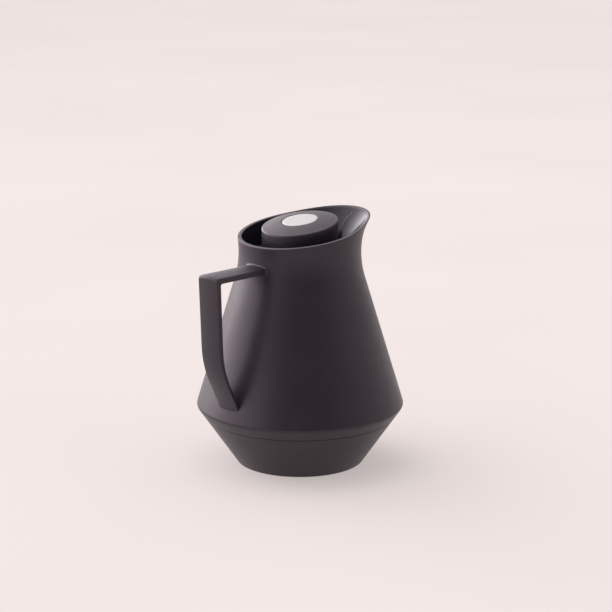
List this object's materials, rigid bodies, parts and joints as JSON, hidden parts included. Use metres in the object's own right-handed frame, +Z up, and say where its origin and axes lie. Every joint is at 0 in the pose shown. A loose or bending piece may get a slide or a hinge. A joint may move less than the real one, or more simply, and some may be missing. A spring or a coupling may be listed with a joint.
{
  "type": "thermal coffee jug",
  "caption": "Conical double-walled coffee jug with a flat strap handle, a pouring spout and a push-button stopper that lifts out.",
  "frame": {"origin": "centre of the underside of the foot pad, on the jug's axis", "axes": "+Z up along the axis, +X towards the spout, -X towards the handle"},
  "size_m": [0.185, 0.1672, 0.2006],
  "materials": {
    "charcoal_plastic": "fine satin charcoal",
    "gloss_black_plastic": "polished blue-black",
    "grey_plastic": "plain moulded",
    "brushed_steel": "fine satin",
    "steel": "bright",
    "silicone": "translucent grey",
    "black_rubber": "matte",
    "silvered_glass": "silvered glass"
  },
  "bodies": {
    "jug": {"body_shell": "charcoal_plastic", "base_cup": "charcoal_plastic", "foot_pad": "black_rubber", "base_cushion": "black_rubber", "pour_funnel": "gloss_black_plastic", "flask_outer": "silvered_glass", "flask_inner": "silvered_glass", "flask_spacer_1": "silicone", "flask_spacer_2": "silicone", "flask_spacer_3": "silicone", "neck_gasket": "silicone", "handle": "charcoal_plastic", "handle_screw_1": "steel", "handle_screw_2": "steel"},
    "stopper_ring": {"stopper_seal": "silicone"},
    "stopper": {"stopper_plug": "grey_plastic", "stopper_cap": "charcoal_plastic", "stem_seal": "silicone", "button_spring": "steel"},
    "button": {"button_disc": "brushed_steel", "button_body": "grey_plastic", "valve_stem": "steel", "valve_plate": "grey_plastic", "valve_seal": "silicone"}
  },
  "joints": [
    {"name": "stopper_lift", "type": "slide", "parent": "jug", "child": "stopper_ring", "axis": [0, 0, 1], "range_m": [0, 0.075]},
    {"name": "stopper_turn", "type": "hinge", "parent": "stopper_ring", "child": "stopper", "pos_m": [0, 0, 0.175], "axis": [0, 0, 1], "range_deg": [0, 90]},
    {"name": "button_press", "type": "slide", "parent": "stopper", "child": "button", "axis": [0, 0, -1], "range_m": [0, 0.004], "stiffness_N_per_m": 600, "springref_m": -0.003, "deforming": ["button_spring"]}
  ]
}
